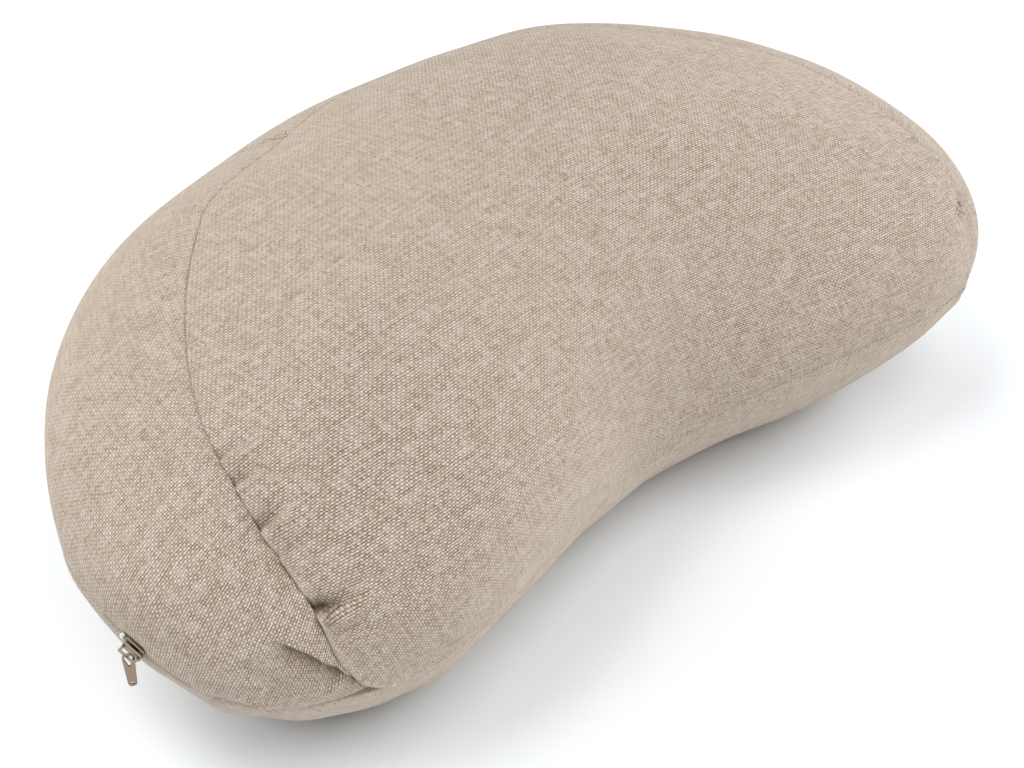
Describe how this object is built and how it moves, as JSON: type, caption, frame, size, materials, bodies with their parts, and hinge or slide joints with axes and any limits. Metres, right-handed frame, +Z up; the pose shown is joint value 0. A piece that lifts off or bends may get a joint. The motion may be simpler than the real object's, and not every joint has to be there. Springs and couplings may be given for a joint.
{
  "type": "meditation cushion",
  "caption": "Crescent meditation cushion with a high soft crown, a wide band sewn round its convex side and a short zip end; a floor seat.",
  "frame": {"origin": "middle of the bounding box of the whole part, on the floor it rests on", "axes": "+Z up, X along the length, the concave side faces -Y"},
  "size_m": [0.4522, 0.2292, 0.168],
  "materials": {
    "linen": "natural undyed linen in a coarse plain weave, matt",
    "bronzed_zinc": "bronze-toned plated zinc, satin",
    "bright_stop": "bright nickel-plated wire",
    "nylon_coil": "beige nylon coil"
  },
  "bodies": {
    "root": {"cushion": "linen", "zip_slider": "bronzed_zinc", "zip_pull": "bronzed_zinc", "zip_coil": "nylon_coil", "zip_stop_upper": "bright_stop", "zip_stop_lower": "bright_stop"}
  },
  "joints": []
}
